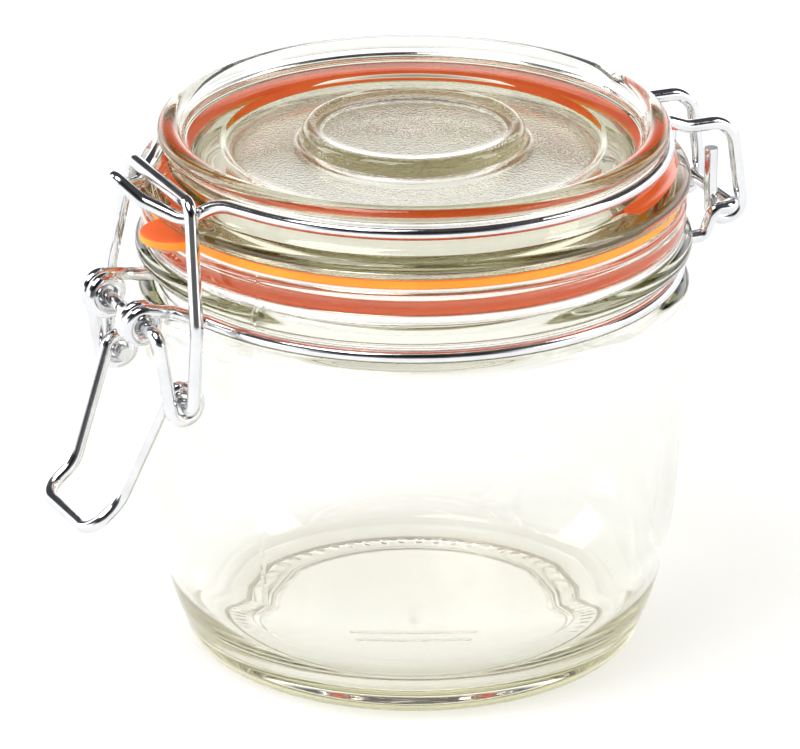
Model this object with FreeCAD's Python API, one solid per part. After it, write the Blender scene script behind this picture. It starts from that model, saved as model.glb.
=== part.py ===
import FreeCAD, Part
import math
import os

# A bail clamp jar: pressed glass jar and lid, rubber seal, and four bent wires.
# Millimetres. Z is up and is the jar's own axis. The origin is the centre of the resting plane.
# The clamp is at -Y and the hinge is at +Y. "out" is the distance from the axis towards -Y at the
# clamp and towards +Y at the hinge, and "h" is a height above the middle of the seal.

# Driving dimensions
JAR_HEIGHT = 82.35
SEAL_THICKNESS = 1.7
LID_RISE = 12.6
RIM_RADIUS = 48.0
BODY_RADIUS = 47.8
FOOT_RADIUS = 34.5
MOUTH_RADIUS = 40.2
WALL = 3.6
WIRE_DIAMETER = 2.4
WIRE_RADIUS = WIRE_DIAMETER / 2
RUNNING_GAP = 0.35
COIL_RADIUS = 2 * WIRE_RADIUS + RUNNING_GAP
COIL_PITCH = WIRE_DIAMETER + 0.1

SEAL_MIDDLE = JAR_HEIGHT + SEAL_THICKNESS / 2
SEAL_TOP = JAR_HEIGHT + SEAL_THICKNESS
LID_TOP = SEAL_MIDDLE + LID_RISE

# Grooves that the two clamped wires lie in
NECK_GROOVE_RADIUS = 46.0
NECK_GROOVE_H = -13.2
LID_GROOVE_RADIUS = 43.9
LID_GROOVE_H = 8.3
GROOVE_CLEARANCE = 0.25

# Pivots: the lever in the neck wire's eyelets, the bail in the lever's loops, the lid at the hinge
LEVER_PIVOT_OUT = 55.0
LEVER_PIVOT_H = -13.2
BAIL_PIVOT_OUT = 50.0
BAIL_PIVOT_H = -26.6
HINGE_OUT = 56.8
HINGE_H = -8.7

# Half widths of the wires, measured along X to the middle of the wire
EYELET_X = 9.7
CRANK_X = 15.4
HANDLE_TOP_X = 13.0
HANDLE_END_X = 9.9
BAIL_FOOT_X = 18.6
BAIL_KNEE_X = 18.4
BAIL_TOP_X = 12.6
HINGE_BAR_X = 11.2
HINGE_ARM_X = 8.0


def height(h):
    return SEAL_MIDDLE + h


def front(x, out, h):
    """A point at the clamp side."""
    return FreeCAD.Vector(x, -out, height(h))


def back(x, out, h):
    """A point at the hinge side."""
    return FreeCAD.Vector(x, out, height(h))


def mirrored(corners):
    """The same corners on the other side of the plane X = 0, in reverse order."""
    return [(FreeCAD.Vector(-p.x, p.y, p.z), r) for p, r in reversed(corners)]


def export(shape, node):
    os.makedirs("parts", exist_ok=True)
    shape.exportStep(f"parts/{node}.step")


# Turned glass and rubber: an outline in (radius, z) is closed and revolved about Z


def profile_point(point):
    return FreeCAD.Vector(point[0], 0, point[1])


def turned(start, segments):
    """Each segment is (radius, z), the end of a line, or a pair of them, an arc's middle and end."""
    here = profile_point(start)
    edges = []
    for segment in segments + [start]:
        if isinstance(segment[0], tuple):
            end = profile_point(segment[1])
            edges.append(Part.Arc(here, profile_point(segment[0]), end).toShape())
        else:
            end = profile_point(segment)
            edges.append(Part.LineSegment(here, end).toShape())
        here = end
    face = Part.Face(Part.Wire(edges))
    return face.revolve(FreeCAD.Vector(0, 0, 0), FreeCAD.Vector(0, 0, 1), 360)


# Bent wire: straight runs joined by tangent arcs, swept by a circle


def bent_path(corners):
    """A wire through corners of (point, bend radius). The first and last radius are not used."""
    points = [p for p, _ in corners]
    edges = []
    here = points[0]
    for before, (corner, radius), after in zip(points, corners[1:-1], points[2:]):
        arriving = (corner - before).normalize()
        leaving = (after - corner).normalize()
        turn = arriving.getAngle(leaving)
        reach = radius * math.tan(turn / 2)
        begin = corner - arriving * reach
        end = corner + leaving * reach
        inward = (leaving - arriving).normalize()
        middle = corner + inward * (radius / math.cos(turn / 2) - radius)
        if here.distanceToPoint(begin) > 1e-4:
            edges.append(Part.LineSegment(here, begin).toShape())
            here = begin
        edges.append(Part.Arc(here, middle, end).toShape())
        here = end
    edges.append(Part.LineSegment(here, points[-1]).toShape())
    return Part.Wire(edges)


def bent_wire(corners):
    path = bent_path(corners)
    start = corners[0][0]
    along = corners[1][0] - start
    section = Part.Wire(Part.Circle(start, along, WIRE_RADIUS).toShape())
    return path.makePipeShell([section], True, False)


def ring_corners(radius, h, first, last, steps):
    """Corners whose bends make one arc of a level ring. Angles are in degrees from the -Y axis."""
    step = math.radians(last - first) / steps
    reach = radius / math.cos(step / 2)
    corners = []
    for i in range(steps):
        angle = math.radians(first) + (i + 0.5) * step
        point = FreeCAD.Vector(reach * math.sin(angle), -reach * math.cos(angle), height(h))
        corners.append((point, radius * 0.9999))
    return corners


def off_ring(radius, h, angle, x):
    """The point at this x on the straight line that leaves a level ring at this angle."""
    turn = math.radians(angle)
    run = (radius * math.sin(turn) - x) / math.cos(turn)
    return FreeCAD.Vector(x, -radius * math.cos(turn) - run * math.sin(turn), height(h))


def coil_corners(out, h, first, last, steps, x_first, x_last):
    """Corners that wind round an axis along X. Angles are in degrees from outward towards up."""
    step = math.radians(last - first) / steps
    reach = COIL_RADIUS / math.cos(step / 2)
    corners = []
    for i in range(steps):
        share = (i + 0.5) / steps
        angle = math.radians(first) + (i + 0.5) * step
        x = x_first + (x_last - x_first) * share
        point = front(x, out + reach * math.cos(angle), h + reach * math.sin(angle))
        corners.append((point, COIL_RADIUS * 0.98))
    return corners


# Glass jar


def jar_body():
    groove_z = height(NECK_GROOVE_H)
    groove_floor = NECK_GROOVE_RADIUS - WIRE_RADIUS - GROOVE_CLEARANCE
    inside = BODY_RADIUS - WALL
    return turned(
        (0, 3.4),
        [
            (26.6, 2.6),
            (27.4, 1.7),
            (32.5, 1.1),
            ((32.62, 0.346), (FOOT_RADIUS - 1.2, 0)),
            (FOOT_RADIUS, 0),
            ((38.399, 1.451), (40.4, 5.1)),
            ((44.05, 16.2), (45.95, 27.7)),
            ((47.1, 46.1), (BODY_RADIUS, 64.5)),
            ((47.5, 67.3), (46.3, 68.2)),
            (45.4, groove_z - 1.4),
            ((groove_floor, groove_z), (45.4, groove_z + 1.4)),
            (46.4, 72.2),
            ((48.4, 74.4), (46.9, 76.4)),
            (46.7, 77.6),
            (47.3, 78.6),
            (47.3, JAR_HEIGHT - 1.1),
            ((46.98, JAR_HEIGHT - 0.32), (46.2, JAR_HEIGHT)),
            (MOUTH_RADIUS + 0.9, JAR_HEIGHT),
            ((MOUTH_RADIUS + 0.26, JAR_HEIGHT - 0.26), (MOUTH_RADIUS, JAR_HEIGHT - 0.9)),
            (MOUTH_RADIUS, 79.6),
            (44.2, 77.8),
            ((44.9, 75.3), (43.0, 72.6)),
            ((41.9, 70.0), (42.8, 67.4)),
            ((43.9, 64.8), (inside, 61.5)),
            ((43.4, 40.0), (41.8, 20.0)),
            ((40.2, 12.0), (37.6, 7.4)),
            ((36.3, 5.9), (34.0, 5.3)),
            (0, 5.9),
        ],
    )


# Glass lid


def lid_glass():
    groove_z = height(LID_GROOVE_H)
    groove_floor = LID_GROOVE_RADIUS - WIRE_RADIUS - GROOVE_CLEARANCE
    skirt = MOUTH_RADIUS - 1.2
    return turned(
        (0, 91.2),
        [
            (15.4, 91.0),
            ((16.7, 90.6), (17.2, 89.2)),
            ((17.7, 87.9), (19.0, 87.4)),
            (30.4, 87.0),
            ((31.7, 86.3), (32.6, 84.4)),
            (37.1, 78.5),
            ((37.8, 77.8), (38.3, 78.6)),
            (skirt, 81.6),
            (skirt, SEAL_TOP),
            (46.6, SEAL_TOP),
            ((RIM_RADIUS, 85.8), (47.3, 87.3)),
            (45.6, 88.3),
            (45.2, 89.0),
            (43.3, groove_z - 1.25),
            ((groove_floor, groove_z), (43.3, groove_z + 1.25)),
            ((44.35, 94.3), (42.5, LID_TOP)),
            ((41.0, LID_TOP - 0.3), (40.2, LID_TOP - 1.4)),
            (39.7, 92.8),
            (39.2, 92.3),
            (33.4, 92.1),
            (32.2, 91.3),
            (20.9, 91.3),
            ((19.8, 91.9), (19.4, 93.4)),
            ((18.9, 94.8), (17.6, 95.2)),
            (16.4, 94.9),
            (0, 94.9),
        ],
    )


# Rubber seal with its pull tab


def rubber_seal():
    inner = MOUTH_RADIUS - 1.0
    outer = RIM_RADIUS - 1.4
    ring = turned((inner, JAR_HEIGHT), [(outer, JAR_HEIGHT), (outer, SEAL_TOP), (inner, SEAL_TOP)])
    tab_half_width = 6.0
    tab_centre = 46.8
    tab_turn = 4.0
    root_length = 4.0
    tip = Part.makeCylinder(tab_half_width, SEAL_THICKNESS, FreeCAD.Vector(0, -tab_centre, 0))
    corner = FreeCAD.Vector(-tab_half_width, -tab_centre, 0)
    root = Part.makeBox(2 * tab_half_width, root_length, SEAL_THICKNESS, corner)
    tab = tip.fuse(root)
    tab.translate(FreeCAD.Vector(0, 0, JAR_HEIGHT))
    tab.rotate(FreeCAD.Vector(0, 0, 0), FreeCAD.Vector(0, 0, 1), tab_turn)
    hole = Part.makeCylinder(outer - 1.0, 2 * SEAL_THICKNESS, FreeCAD.Vector(0, 0, JAR_HEIGHT - 1))
    return ring.fuse(tab.cut(hole)).removeSplitter()


# Neck wire: two eyelets at the front, a ring in the groove, a squared loop at the back


def neck_wire():
    ring_front = 19.0
    ring_back = 162.0
    coil_first = -450
    coil_last = 100
    inner_x = EYELET_X - COIL_PITCH * (coil_last - coil_first) / 360
    tail = [(front(inner_x, LEVER_PIVOT_OUT - 1.0, LEVER_PIVOT_H - COIL_RADIUS), 0)]
    eyelet = coil_corners(LEVER_PIVOT_OUT, LEVER_PIVOT_H, coil_first, coil_last, 12, inner_x, EYELET_X)
    lead = [
        (front(10.0, 50.4, -11.2), 4.0),
        (off_ring(NECK_GROOVE_RADIUS, NECK_GROOVE_H, ring_front, 12.4), 2.0),
    ]
    ring = ring_corners(NECK_GROOVE_RADIUS, NECK_GROOVE_H, ring_front, ring_back, 6)
    loop = [
        (off_ring(NECK_GROOVE_RADIUS, NECK_GROOVE_H, ring_back, HINGE_BAR_X), 2.0),
        (back(HINGE_BAR_X, 50.8, NECK_GROOVE_H), 1.5),
        (back(HINGE_BAR_X, 52.6, HINGE_H), 1.5),
        (back(HINGE_BAR_X, HINGE_OUT, HINGE_H), 1.7),
    ]
    half = tail + eyelet + lead + ring + loop
    return bent_wire(half + mirrored(half))


# Lid wire: V-shaped nose at the front, a ring in the groove, two hooked arms at the back


def lid_wire():
    ring_front = 28.0
    ring_back = 160.0
    hook_reach = 3.2
    hook_bend = 2.9
    arm = [
        (back(HINGE_ARM_X, HINGE_OUT - hook_reach, 1.6), 0),
        (back(HINGE_ARM_X, HINGE_OUT - hook_reach, HINGE_H - hook_reach), hook_bend),
        (back(HINGE_ARM_X, HINGE_OUT + hook_reach, HINGE_H - hook_reach), hook_bend),
        (back(HINGE_ARM_X, 57.6, 6.0), 4.5),
        (back(HINGE_ARM_X, 49.0, 6.2), 4.0),
        (off_ring(LID_GROOVE_RADIUS, LID_GROOVE_H, ring_back, HINGE_ARM_X), 2.2),
    ]
    ring = ring_corners(LID_GROOVE_RADIUS, LID_GROOVE_H, ring_back, ring_front, 6)
    nose = [
        (off_ring(LID_GROOVE_RADIUS, LID_GROOVE_H, ring_front, 13.2), 7.0),
        (front(10.3, 47.6, 5.0), 4.0),
        (front(4.2, 53.1, 7.6), 6.0),
    ]
    tip = [(front(0, 56.9, 11.6), 1.9)]
    half = arm + ring + nose
    return bent_wire(half + tip + mirrored(half))


# Lever wire: pivot pins, cranks, a loop round each foot of the bail, and the handle


def lever_wire():
    run_out = BAIL_PIVOT_OUT - LEVER_PIVOT_OUT
    run_up = BAIL_PIVOT_H - LEVER_PIVOT_H
    span = math.hypot(run_out, run_up)
    crank_heading = math.degrees(math.atan2(run_up, run_out) + math.asin(COIL_RADIUS / span))
    handle_heading = -66.6
    loop_first = crank_heading + 90
    loop_last = handle_heading + 90 - 360
    pin = [
        (front(0.3, LEVER_PIVOT_OUT, LEVER_PIVOT_H), 0),
        (front(CRANK_X, LEVER_PIVOT_OUT, LEVER_PIVOT_H), 2.0),
    ]
    loop = coil_corners(BAIL_PIVOT_OUT, BAIL_PIVOT_H, loop_first, loop_last, 8, CRANK_X, HANDLE_TOP_X)
    handle = [
        (front(HANDLE_END_X, 60.2, -44.6), 7.0),
        (front(HANDLE_END_X, 65.9, -49.2), 3.6),
    ]
    half = pin + loop + handle
    return bent_wire(half + mirrored(half))


# Bail wire: feet through the lever's loops, two uprights and the crossbar


def bail_wire():
    half = [
        (front(10.4, BAIL_PIVOT_OUT, BAIL_PIVOT_H), 0),
        (front(BAIL_FOOT_X, BAIL_PIVOT_OUT, BAIL_PIVOT_H), 1.9),
        (front(BAIL_KNEE_X, 49.2, -11.4), 9.0),
        (front(BAIL_TOP_X, 47.6, 8.7), 2.6),
    ]
    return bent_wire(half + mirrored(half))


def main():
    export(jar_body(), "jar_body")
    export(lid_glass(), "lid_glass")
    export(rubber_seal(), "rubber_seal")
    export(neck_wire(), "neck_wire")
    export(lid_wire(), "lid_wire")
    export(lever_wire(), "lever_wire")
    export(bail_wire(), "bail_wire")


main()
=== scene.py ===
import cmath
import math

import bpy
import numpy as np
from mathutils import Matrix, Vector


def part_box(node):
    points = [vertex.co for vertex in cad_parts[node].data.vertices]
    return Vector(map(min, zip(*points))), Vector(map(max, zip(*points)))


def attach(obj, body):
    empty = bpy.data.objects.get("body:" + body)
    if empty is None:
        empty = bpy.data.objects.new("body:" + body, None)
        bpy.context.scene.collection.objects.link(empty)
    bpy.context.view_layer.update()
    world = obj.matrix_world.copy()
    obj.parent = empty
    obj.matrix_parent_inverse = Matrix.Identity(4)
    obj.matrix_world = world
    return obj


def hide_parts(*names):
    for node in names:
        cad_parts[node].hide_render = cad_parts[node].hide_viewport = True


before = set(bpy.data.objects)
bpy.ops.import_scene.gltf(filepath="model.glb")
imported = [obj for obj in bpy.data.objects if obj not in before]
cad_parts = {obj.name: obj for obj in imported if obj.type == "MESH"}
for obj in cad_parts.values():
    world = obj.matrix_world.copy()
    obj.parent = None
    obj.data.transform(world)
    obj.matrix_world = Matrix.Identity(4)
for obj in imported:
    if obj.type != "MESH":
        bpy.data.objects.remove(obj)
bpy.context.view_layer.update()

# The looks of a bail clamp jar. The wires are the CAD nodes with a plated finish. The glass jar,
# the glass lid and the seal are turned here, with rounded corners and moulded detail.
# Outlines are in millimetres, as (radius, z), and meshes are in metres.
MM = 0.001

jar_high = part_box("jar_body")[1]
lid_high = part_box("lid_glass")[1]
seal_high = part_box("rubber_seal")[1]

JAR_TOP = jar_high.z / MM
SEAL_TOP = seal_high.z / MM
LID_TOP = lid_high.z / MM
RIM_RADIUS = lid_high.x / MM
SEAL_RADIUS = seal_high.x / MM
FOOT_RADIUS = 34.5
BODY_RADIUS = 47.8
MOUTH_RADIUS = 40.2
SKIRT_RADIUS = MOUTH_RADIUS - 1.2

# How far the rubber overlaps glass that it is pressed against, and how far it stands off elsewhere
SEAL_CONTACT = 0.03

# Turned meshes: how close the outline's points are, the bend that one row covers, and the columns
OUTLINE_STEP = 0.1
BEND_PER_ROW = math.radians(11)
COLUMNS = 360

# Degrees from -Y towards +X
SEAM_ANGLES = (30.8, 210.8)
CAMERA_ANGLE = 65.0

LIGHT_BOUNCES = 24


# Outlines, as complex numbers: radius + 1j * z


def outline_points(start, segments):
    """Evenly spaced points. A segment is the end of a line, or a pair, an arc's middle and end."""
    runs = [np.array([complex(*start)])]
    for segment in segments:
        here = runs[-1][-1]
        if isinstance(segment[0], tuple):
            middle, end = complex(*segment[0]), complex(*segment[1])
            ratio = (end - here) / (middle - here)
            centre = here + (middle - here) * (ratio - abs(ratio) ** 2) / 2j / ratio.imag
            sweep = cmath.phase((end - centre) / (here - centre))
            half = cmath.phase((middle - centre) / (here - centre))
            if sweep * half < 0:
                sweep += math.copysign(2 * math.pi, half)
            count = max(2, round(abs(sweep) * abs(here - centre) / OUTLINE_STEP))
            share = np.arange(1, count + 1) / count
            runs.append(centre + (here - centre) * np.exp(1j * sweep * share))
        else:
            end = complex(*segment)
            count = max(1, round(abs(end - here) / OUTLINE_STEP))
            share = np.arange(1, count + 1) / count
            runs.append(here + (end - here) * share)
    return np.concatenate(runs)


def softened(points, radius, closed=False):
    """The outline with its corners rounded, each point a weighted mean of its neighbours."""
    reach = math.ceil(3 * radius / OUTLINE_STEP)
    offsets = np.arange(-reach, reach + 1) * OUTLINE_STEP
    weights = np.exp(-((offsets / radius) ** 2) / 2)
    weights /= weights.sum()
    if closed:
        points = points[:-1]
        padded = np.concatenate([points[-reach:], points, points[:reach]])
        return np.convolve(padded, weights, "valid")
    before = -np.conj(points[1:reach + 1][::-1])
    after = -np.conj(points[-reach - 1:-1][::-1])
    padded = np.concatenate([before, points, after])
    soft = np.convolve(padded, weights, "valid")
    soft[0] = 1j * soft[0].imag
    soft[-1] = 1j * soft[-1].imag
    return soft


def outline_rows(points, spacing):
    """The points that a mesh needs, closer on bends and where spacing says, and their normals."""
    along = np.gradient(points)
    heading = np.unwrap(np.angle(along))
    steps = np.abs(np.diff(points))
    middles = (points[1:] + points[:-1]) / 2
    cost = np.abs(np.diff(heading)) / BEND_PER_ROW + steps / spacing(middles.real, middles.imag)
    total = np.concatenate([[0], np.cumsum(cost)])
    count = math.ceil(total[-1])
    chosen = np.searchsorted(total, np.linspace(0, total[-1], count + 1))
    chosen = np.unique(chosen.clip(0, len(points) - 1))
    normals = -1j * along / np.abs(along)
    return points[chosen], normals[chosen]


def column_angles(fine_at=(), fine_width=1.2, fine_step=0.2):
    """Angles in degrees from -Y towards +X, closer together around each of fine_at."""
    angles = set(np.round(np.arange(COLUMNS) * 360 / COLUMNS, 3))
    for middle in fine_at:
        angles |= set(np.round(np.arange(middle - fine_width, middle + fine_width, fine_step) % 360, 3))
    return np.radians(np.array(sorted(angles)))


def around(spot, angles):
    """The outline's point or direction, turned about Z to each of these angles."""
    parts = [spot.real * np.sin(angles), -spot.real * np.cos(angles), np.full(len(angles), spot.imag)]
    return np.stack(parts, 1)


def turned(name, rows, normals, angles, raised=None, closed=False):
    """A mesh turned about Z. raised(x, y, z, up) gives how far each vertex stands out along its normal."""
    columns = len(angles)
    poles = [] if closed else [0, len(rows) - 1]
    points, aims, rings = [], [], []
    for i, (row, normal) in enumerate(zip(rows, normals)):
        turn = angles[:1] if i in poles else angles
        rings.append(np.arange(len(turn)) + (rings[-1][-1] + 1 if rings else 0))
        points.append(around(row, turn))
        aim = normal if i not in poles else 1j * np.sign(normal.imag)
        aims.append(around(aim, turn))
    points, aims = np.concatenate(points), np.concatenate(aims)
    if raised is not None:
        height = raised(*points.T, aims[:, 2])
        points = points + aims * height[:, None]
        # Raised vertices and those beside them take their normals from the faces instead.
        flush = 1e-4
        near = height > flush
        for ring in rings:
            if len(ring) == columns:
                on = near[ring]
                near[ring] = on | np.roll(on, 1) | np.roll(on, -1)
        aims[near] = 0
    faces = []
    order = list(zip(rings, rings[1:])) + ([(rings[-1], rings[0])] if closed else [])
    for lower, upper in order:
        for k in range(columns):
            n = (k + 1) % columns
            corners = [
                lower[k % len(lower)],
                lower[n % len(lower)],
                upper[n % len(upper)],
                upper[k % len(upper)],
            ]
            faces.append([int(c) for c in dict.fromkeys(corners)])
    mesh = bpy.data.meshes.new(name)
    mesh.from_pydata((points * MM).tolist(), [], faces)
    mesh.polygons.foreach_set("use_smooth", [True] * len(mesh.polygons))
    mesh.update()
    mesh.normals_split_custom_set_from_vertices(aims.tolist())
    piece = bpy.data.objects.new(name, mesh)
    bpy.context.scene.collection.objects.link(piece)
    return piece


# The glass jar


def jar_outline():
    return outline_points(
        (0, 3.4),
        [
            (26.6, 2.6),
            (27.4, 1.7),
            (32.5, 1.1),
            ((32.62, 0.346), (FOOT_RADIUS - 1.2, 0)),
            (FOOT_RADIUS, 0),
            ((38.399, 1.451), (40.4, 5.1)),
            ((44.05, 16.2), (45.95, 27.7)),
            ((47.1, 46.1), (BODY_RADIUS, 64.5)),
            ((47.5, 67.3), (46.3, 68.2)),
            (45.4, 68.6),
            ((44.55, 70.0), (45.4, 71.4)),
            (46.4, 72.2),
            ((48.4, 74.4), (46.9, 76.4)),
            (46.7, 77.6),
            (47.3, 78.6),
            (47.3, JAR_TOP - 1.1),
            ((46.98, JAR_TOP - 0.32), (46.2, JAR_TOP)),
            (MOUTH_RADIUS + 0.9, JAR_TOP),
            ((MOUTH_RADIUS + 0.26, JAR_TOP - 0.26), (MOUTH_RADIUS, JAR_TOP - 0.9)),
            (MOUTH_RADIUS, 79.6),
            (44.2, 77.8),
            ((44.9, 75.3), (43.0, 72.6)),
            ((41.9, 70.0), (42.8, 67.4)),
            ((43.9, 64.8), (44.2, 61.5)),
            ((43.4, 40.0), (41.8, 20.0)),
            ((40.2, 12.0), (37.6, 7.4)),
            ((36.3, 5.9), (34.0, 5.3)),
            (0, 5.9),
        ],
    )


def bar_rise(along, across, reach):
    """How far a round-ended moulded bar of this half length stands out. Its middle is at 0, 0."""
    half_width, rise = 1.0, 0.5
    away = np.hypot((np.abs(along) - reach).clip(0), across)
    return rise * (1 - (away / half_width).clip(0, 1) ** 2) ** 2


def jar_detail(x, y, z, up):
    """Two mould seams, knurling beside the foot, and two plain bars underneath."""
    radius = np.hypot(x, y)
    angle = np.degrees(np.arctan2(x, -y)) % 360
    height = np.zeros(len(x))

    seam_half_width = 0.42
    seam_rise = np.where(z > 66, 0.09, 0.02)
    outside = (radius > 44.6) & (z < JAR_TOP - 0.4)
    for seam in SEAM_ANGLES:
        off = np.abs(angle - seam) * math.radians(1) * radius
        height += np.where(outside, seam_rise * (1 - (off / seam_half_width).clip(0, 1) ** 2), 0)

    knurls, knurl_radius, knurl_reach, knurl_rise = 60, 30.4, 1.5, 0.14
    under = (z < 3) & (up < -0.5)
    across = np.abs((angle * knurls / 360) % 1 - 0.5) * 2
    along = np.abs(radius - knurl_radius) / knurl_reach
    knurl = knurl_rise * (1 - (across / 0.5).clip(0, 1) ** 2) * (1 - along.clip(0, 1) ** 2)
    height += np.where(under, knurl, 0)

    middle = (z < 4) & (up < -0.5) & (radius < 17)
    side = math.radians(CAMERA_ANGLE)
    right = x * math.cos(side) + y * math.sin(side)
    ahead = x * math.sin(side) - y * math.cos(side)
    for reach, offset in ((10.0, 4.5), (9.0, 11.0)):
        height += np.where(middle, bar_rise(right, ahead - offset, reach), 0)
    return height


def jar_glass():
    def spacing(radius, z):
        """Rows are closer under the base, where the bars and the knurls stand out."""
        bars = (z < 4.2) & (radius < 16)
        knurls = (z < 2.4) & (radius > 27) & (radius < 34)
        return np.where(bars, 0.42, np.where(knurls, 0.5, 3.2))

    rows, normals = outline_rows(softened(jar_outline(), 0.35), spacing)
    return turned("jar_glass", rows, normals, column_angles(SEAM_ANGLES), jar_detail)


# The glass lid


def lid_outline():
    return outline_points(
        (0, 91.2),
        [
            (15.4, 91.0),
            ((16.7, 90.6), (17.2, 89.2)),
            ((17.7, 87.9), (19.0, 87.4)),
            (30.4, 87.0),
            ((31.7, 86.3), (32.6, 84.4)),
            (37.1, 78.5),
            ((37.8, 77.8), (38.3, 78.6)),
            (SKIRT_RADIUS, 81.6),
            (SKIRT_RADIUS, SEAL_TOP),
            (46.6, SEAL_TOP),
            ((RIM_RADIUS, 85.8), (47.3, 87.3)),
            (45.6, 88.3),
            (45.2, 89.0),
            (43.3, 90.25),
            ((42.45, 91.5), (43.3, 92.75)),
            ((44.35, 94.3), (42.5, LID_TOP)),
            ((41.0, LID_TOP - 0.3), (40.2, LID_TOP - 1.4)),
            (39.7, 92.8),
            (39.2, 92.3),
            (33.4, 92.1),
            (32.2, 91.3),
            (20.9, 91.3),
            ((19.8, 91.9), (19.4, 93.4)),
            ((18.9, 94.8), (17.6, 95.2)),
            (16.4, 94.9),
            (0, 94.9),
        ],
    )


def lid_pressed_glass():
    rows, normals = outline_rows(softened(lid_outline(), 0.3), lambda radius, z: 3.0)
    return turned("lid_pressed_glass", rows, normals, column_angles())


# The rubber seal


def seal_outline():
    """Pressed on the jar, the lid's skirt and the inner half of its flange, with air over the rest."""
    low, high, pressed = JAR_TOP - SEAL_CONTACT, SEAL_TOP - SEAL_CONTACT, SEAL_TOP + SEAL_CONTACT
    inner, outer, edge = SKIRT_RADIUS - SEAL_CONTACT, SEAL_RADIUS, 0.35
    bend = edge * 0.293
    return outline_points(
        (inner + edge, low),
        [
            (outer - edge, low),
            ((outer - bend, low + bend), (outer, low + edge)),
            (outer, high - edge),
            ((outer - bend, high - bend), (outer - edge, high)),
            (43.4, high),
            (42.6, pressed),
            (inner + edge, pressed),
            ((inner + bend, pressed - bend), (inner, pressed - edge)),
            (inner, low + edge),
            ((inner + bend, low + bend), (inner + edge, low)),
        ],
    )


def seal_ring():
    """The ring, with a round tab, and with air over all of its top on the side near CAMERA_ANGLE."""
    tab_angle, tab_half, tab_centre = 4.0, 6.0, 46.8
    fine = np.arange(tab_angle - 12, tab_angle + 12, 2.0) % 360
    angles = column_angles(fine, 1.0, 0.25)
    rows, normals = outline_rows(softened(seal_outline(), 0.12, closed=True), lambda radius, z: 0.8)
    piece = turned("seal_ring", rows, normals, angles, closed=True)
    mesh = piece.data
    where = np.zeros(len(mesh.vertices) * 3)
    mesh.vertices.foreach_get("co", where)
    x, y, z = where.reshape(-1, 3).T / MM
    radius = np.hypot(x, y)
    off = (np.arctan2(x, -y) - math.radians(tab_angle) + math.pi) % (2 * math.pi) - math.pi
    side = tab_centre * np.sin(off)
    inside = (np.abs(side) < tab_half) & (np.abs(off) < 1)
    reach = tab_centre * np.cos(off) + np.sqrt(np.where(inside, tab_half ** 2 - side ** 2, 0))
    grow = np.where(inside, reach - SEAL_RADIUS, -1.0)
    blend = 0.8
    grow = (grow + np.sqrt(grow ** 2 + blend ** 2)) / 2
    grow = np.where(np.abs(off) < 1, grow - (math.sqrt(1 + blend ** 2) - 1) / 2, 0).clip(0)
    share = ((radius - SKIRT_RADIUS) / (SEAL_RADIUS - SKIRT_RADIUS)).clip(0, 1)
    moved = radius + grow * share ** 2
    loose_half, fade = 50.0, 20.0
    from_loose = np.abs((np.degrees(np.arctan2(x, -y)) - CAMERA_ANGLE + 180) % 360 - 180)
    loose = ((loose_half + fade - from_loose) / fade).clip(0, 1)
    z = z - 2 * SEAL_CONTACT * loose * (z > SEAL_TOP)
    out = np.stack([x * moved / radius, y * moved / radius, z], 1) * MM
    mesh.vertices.foreach_set("co", out.ravel())
    mesh.update()
    mesh.normals_split_custom_set_from_vertices([(0, 0, 0)] * len(mesh.vertices))
    return piece


# Materials


class Nodes:
    """A short way to write node trees."""

    def __init__(self, tree):
        self.tree = tree
        tree.nodes.clear()

    def add(self, kind, inputs=None, **settings):
        node = self.tree.nodes.new(kind)
        for name, value in settings.items():
            setattr(node, name, value)
        for name, value in (inputs or {}).items():
            if isinstance(value, bpy.types.NodeSocket):
                self.tree.links.new(value, node.inputs[name])
            else:
                node.inputs[name].default_value = value
        return node

    def noise(self, position, scale, detail):
        inputs = {"Vector": position, "Scale": scale, "Detail": detail, "Roughness": 0.5}
        return self.add("ShaderNodeTexNoise", inputs).outputs["Fac"]

    def ranged(self, value, low, high, to_low, to_high):
        inputs = {"Value": value, "From Min": low, "From Max": high, "To Min": to_low, "To Max": to_high}
        return self.add("ShaderNodeMapRange", inputs).outputs["Result"]

    def math(self, operation, a, b=0.0):
        return self.add("ShaderNodeMath", {0: a, 1: b}, operation=operation).outputs[0]

    def ramp(self, value, stops):
        node = self.add("ShaderNodeValToRGB", {"Fac": value})
        marks = node.color_ramp.elements
        while len(marks) < len(stops):
            marks.new(0.5)
        for mark, (place, colour) in zip(marks, stops):
            mark.position = place
            mark.color = (*colour, 1)
        return node.outputs["Color"]


def new_material(name):
    material = bpy.data.materials.new(name)
    material.use_nodes = True
    return material, Nodes(material.node_tree)


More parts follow.
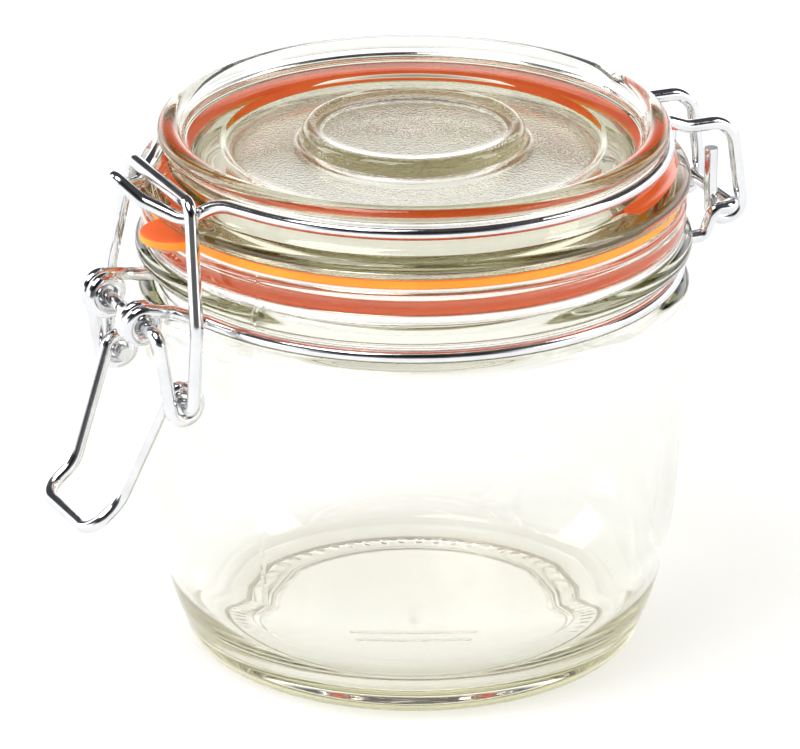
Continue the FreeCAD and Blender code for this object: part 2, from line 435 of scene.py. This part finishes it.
def glass_material(name, stipple, density):
    """Faintly olive glass that lamps shine through. Its waviness and stipple are bump only."""
    material, nodes = new_material(name)
    place = nodes.add("ShaderNodeTexCoord").outputs["Object"]
    roughness = nodes.ranged(nodes.noise(place, 90, 4), 0.45, 0.75, 0.0, 0.035)
    wave = nodes.noise(place, 26, 1)
    bump = nodes.add("ShaderNodeBump", {"Height": wave, "Strength": 0.08, "Distance": 0.0012}).outputs[0]
    if stipple:
        xyz = nodes.add("ShaderNodeSeparateXYZ", {"Vector": place}).outputs
        squares = [nodes.math("MULTIPLY", side, side) for side in (xyz[0], xyz[1])]
        radius = nodes.math("SQRT", nodes.math("ADD", *squares))
        under = nodes.ranged(xyz[2], 0.0911, 0.0913, 1, 0)
        within = nodes.ranged(radius, 0.0325, 0.0335, 1, 0)
        mask = nodes.math("MULTIPLY", under, within)
        grains = nodes.add("ShaderNodeTexVoronoi", {"Vector": place, "Scale": 2000.0}).outputs["Distance"]
        grains = nodes.math("MULTIPLY", grains, mask)
        bump = nodes.add(
            "ShaderNodeBump", {"Height": grains, "Strength": 0.25, "Distance": 0.0002, "Normal": bump}
        ).outputs[0]
    surface = nodes.add(
        "ShaderNodeBsdfPrincipled",
        {
            "Base Color": (1, 1, 1, 1),
            "Roughness": roughness,
            "IOR": 1.52,
            "Transmission Weight": 1.0,
            "Normal": bump,
        },
    ).outputs[0]
    path = nodes.add("ShaderNodeLightPath").outputs
    passing = nodes.math("MAXIMUM", path["Is Shadow Ray"], path["Is Diffuse Ray"])
    clear = nodes.add("ShaderNodeBsdfTransparent", {"Color": (0.93, 0.935, 0.92, 1)}).outputs[0]
    mix = nodes.add("ShaderNodeMixShader", {0: passing, 1: surface, 2: clear}).outputs[0]
    tint = {"Color": (0.70, 0.69, 0.52, 1), "Density": density}
    inside = nodes.add("ShaderNodeVolumeAbsorption", tint).outputs[0]
    nodes.add("ShaderNodeOutputMaterial", {"Surface": mix, "Volume": inside})
    return material


def rubber_material():
    """Painted shading: redder, as if shaded, where it faces up or down, and yellower, as if lit, on upright
    edges.
    """
    material, nodes = new_material("orange_silicone_rubber")
    coordinates = nodes.add("ShaderNodeTexCoord").outputs
    place = coordinates["Object"]
    mottle = nodes.noise(place, 140, 4)
    # Painted shading: the flat colour is a shaded copy of the rubber and the edge colour a lit one, mixed by
    # which way the face points.
    shaded_flat_colour = nodes.ramp(mottle, [(0.3, (0.93, 0.11, 0.010)), (0.7, (1.0, 0.15, 0.014))])
    edge = nodes.ramp(mottle, [(0.3, (0.93, 0.27, 0.010)), (0.7, (1.0, 0.33, 0.016))])
    facing = nodes.add("ShaderNodeSeparateXYZ", {"Vector": coordinates["Normal"]}).outputs[2]
    level = nodes.ranged(nodes.math("ABSOLUTE", facing), 0.3, 0.8, 0, 1)
    factor_in, first_colour_in, second_colour_in, colour_out = 0, 6, 7, 2
    mixed = {factor_in: level, first_colour_in: edge, second_colour_in: shaded_flat_colour}
    colour = nodes.add("ShaderNodeMix", mixed, data_type="RGBA").outputs[colour_out]
    fine = nodes.noise(place, 2600, 3)
    bump = nodes.add("ShaderNodeBump", {"Height": fine, "Strength": 0.25, "Distance": 0.00015}).outputs[0]
    surface = nodes.add(
        "ShaderNodeBsdfPrincipled",
        {
            "Base Color": colour,
            "Roughness": nodes.ranged(mottle, 0.3, 0.7, 0.38, 0.55),
            "Subsurface Weight": 0.25,
            "Subsurface Radius": (1.0, 0.3, 0.08),
            "Subsurface Scale": 0.0015,
            "Normal": bump,
        },
    ).outputs[0]
    nodes.add("ShaderNodeOutputMaterial", {"Surface": surface})
    return material


def wire_material():
    material, nodes = new_material("bright_plated_wire")
    place = nodes.add("ShaderNodeTexCoord").outputs["Object"]
    patches = nodes.noise(place, 260, 4)
    colour = nodes.ramp(patches, [(0.3, (0.70, 0.71, 0.73)), (0.7, (0.80, 0.805, 0.81))])
    grain = nodes.noise(place, 3200, 2)
    bump = nodes.add("ShaderNodeBump", {"Height": grain, "Strength": 0.12, "Distance": 0.00006}).outputs[0]
    surface = nodes.add(
        "ShaderNodeBsdfPrincipled",
        {
            "Base Color": colour,
            "Metallic": 1.0,
            "Roughness": nodes.ranged(patches, 0.3, 0.75, 0.06, 0.17),
            "Normal": bump,
        },
    ).outputs[0]
    nodes.add("ShaderNodeOutputMaterial", {"Surface": surface})
    return material


def floor_material():
    material, nodes = new_material("studio_floor")
    place = nodes.add("ShaderNodeTexCoord").outputs["Object"]
    colour = nodes.ramp(nodes.noise(place, 8, 3), [(0.3, (0.93, 0.93, 0.93)), (0.7, (0.95, 0.95, 0.95))])
    inputs = {"Base Color": colour, "Roughness": 0.6, "Specular IOR Level": 0.2}
    surface = nodes.add("ShaderNodeBsdfPrincipled", inputs).outputs[0]
    nodes.add("ShaderNodeOutputMaterial", {"Surface": surface})
    return material


def finish(piece, material):
    piece.data.materials.clear()
    piece.data.materials.append(material)


# Studio


def studio_floor():
    half = 4.0
    mesh = bpy.data.meshes.new("floor")
    level = -0.0002
    corners = [(-half, -half, level), (half, -half, level), (half, half, level), (-half, half, level)]
    mesh.from_pydata(corners, [], [(0, 1, 2, 3)])
    floor = bpy.data.objects.new("floor", mesh)
    bpy.context.scene.collection.objects.link(floor)
    mesh.materials.append(floor_material())


def studio_world():
    """Reflected rays see a sky that darkens lower down and dims near CAMERA_ANGLE. Others see a paler one."""
    world = bpy.data.worlds.new("studio")
    bpy.context.scene.world = world
    world.use_nodes = True
    nodes = Nodes(world.node_tree)
    way = nodes.add("ShaderNodeTexCoord").outputs["Generated"]
    x, y, up = nodes.add("ShaderNodeSeparateXYZ", {"Vector": way}).outputs
    side = math.radians(CAMERA_ANGLE)
    parts = [nodes.math("MULTIPLY", x, math.sin(side)), nodes.math("MULTIPLY", y, -math.cos(side))]
    toward = nodes.math("ADD", *parts)
    white, grey, dark = (1, 1, 1), (0.3, 0.3, 0.31), (0.03, 0.03, 0.033)
    share = nodes.ranged(up, -1, 1, 0, 1)
    mirrored = nodes.ramp(share, [(0.5, white), (0.6, white), (0.66, grey), (0.70, dark)])
    strength = nodes.math("MULTIPLY", nodes.ranged(toward, 0.55, 0.8, 1.0, 0.06), 2.2)
    mirrored = nodes.add("ShaderNodeBackground", {"Color": mirrored, "Strength": strength})
    through = nodes.ramp(share, [(0.5, white), (0.74, white), (0.82, grey), (0.88, dark)])
    through = nodes.add("ShaderNodeBackground", {"Color": through, "Strength": 1.7})
    path = nodes.add("ShaderNodeLightPath").outputs
    only_glossy = nodes.math("SUBTRACT", path["Is Glossy Ray"], path["Is Transmission Ray"])
    reflected = nodes.math("GREATER_THAN", only_glossy, 0.5)
    mix = nodes.add("ShaderNodeMixShader", {0: reflected, 1: through.outputs[0], 2: mirrored.outputs[0]})
    nodes.add("ShaderNodeOutputWorld", {"Surface": mix.outputs[0]})


def direction(azimuth, elevation):
    """The way out from the jar, in degrees from -Y towards +X and up from level."""
    turn, lift = math.radians(azimuth), math.radians(elevation)
    return Vector((math.sin(turn) * math.cos(lift), -math.cos(turn) * math.cos(lift), math.sin(lift)))


def softbox(name, azimuth, elevation, distance, size, power):
    where = direction(azimuth, elevation)
    light = bpy.data.lights.new(name, "AREA")
    light.shape = "RECTANGLE"
    light.size, light.size_y = size
    light.energy = power
    lamp = bpy.data.objects.new(name, light)
    lit_height = 0.05
    lamp.location = where * distance + Vector((0, 0, lit_height))
    lamp.rotation_euler = (-where).to_track_quat("-Z", "Y").to_euler()
    bpy.context.scene.collection.objects.link(lamp)


def camera():
    elevation, distance = 22, 1.5
    aim_left, aim_height = 0.00236, 0.04828
    back = direction(CAMERA_ANGLE, elevation)
    right = direction(CAMERA_ANGLE + 90, 0)
    aim = Vector((0, 0, aim_height)) - right * aim_left
    data = bpy.data.cameras.new("camera")
    data.sensor_width = 36
    data.lens = 386.8
    data.clip_end = 50
    eye = bpy.data.objects.new("camera", data)
    eye.location = aim + back * distance
    eye.rotation_euler = back.to_track_quat("Z", "Y").to_euler()
    bpy.context.scene.collection.objects.link(eye)
    bpy.context.scene.camera = eye


def main():
    clear = glass_material("clear_jar_glass", stipple=False, density=38.0)
    pressed = glass_material("pressed_lid_glass", stipple=True, density=75.0)
    jar = jar_glass()
    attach(jar, "jar")
    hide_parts("jar_body")
    finish(jar, clear)
    lid = lid_pressed_glass()
    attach(lid, "lid")
    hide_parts("lid_glass")
    finish(lid, pressed)
    seal = seal_ring()
    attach(seal, "lid")
    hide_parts("rubber_seal")
    finish(seal, rubber_material())
    wire = wire_material()
    for node in ("neck_wire", "lid_wire", "lever_wire", "bail_wire"):
        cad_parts[node].data.materials.clear()
        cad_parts[node].data.materials.append(wire)
    studio_floor()
    studio_world()
    softbox("top", 20, 60, 1.6, (0.9, 0.9), 14)
    softbox("left", -40, 25, 1.6, (0.5, 1.2), 8)
    softbox("right", 150, 30, 1.6, (0.5, 1.2), 8)
    camera()
    scene = bpy.context.scene
    scene.view_settings.view_transform = "Standard"
    scene.cycles.max_bounces = LIGHT_BOUNCES
    scene.cycles.transmission_bounces = LIGHT_BOUNCES
    scene.cycles.glossy_bounces = LIGHT_BOUNCES
    scene.cycles.transparent_max_bounces = LIGHT_BOUNCES


main()
